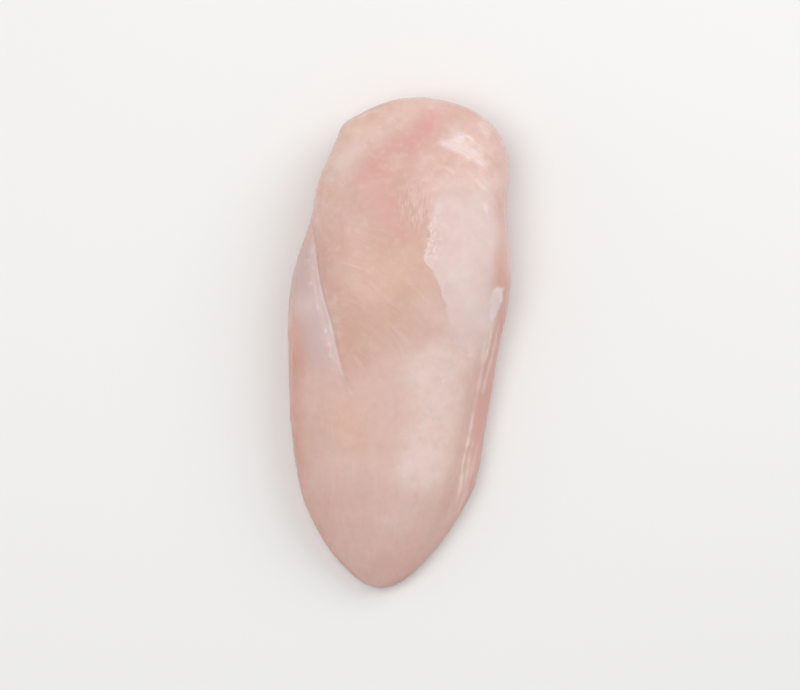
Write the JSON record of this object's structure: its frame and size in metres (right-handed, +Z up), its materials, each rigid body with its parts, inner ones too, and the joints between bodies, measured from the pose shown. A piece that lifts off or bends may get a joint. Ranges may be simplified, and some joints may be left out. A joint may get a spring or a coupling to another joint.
{
  "type": "raw chicken breast",
  "caption": "Raw boneless, skinless half chicken breast: one thick muscle that tapers from a round shoulder to a thin tail, with a folded lobe along its left side.",
  "frame": {"origin": "middle of the breast seen from above, on the surface it lies on", "axes": "+Z up from the flat rib side that it rests on, +Y from the thin tail to the thick shoulder end, +X to the right seen from above"},
  "size_m": [0.0894, 0.197, 0.0418],
  "materials": {
    "flesh": "satin"
  },
  "bodies": {
    "root": {"breast": "flesh"}
  },
  "joints": []
}
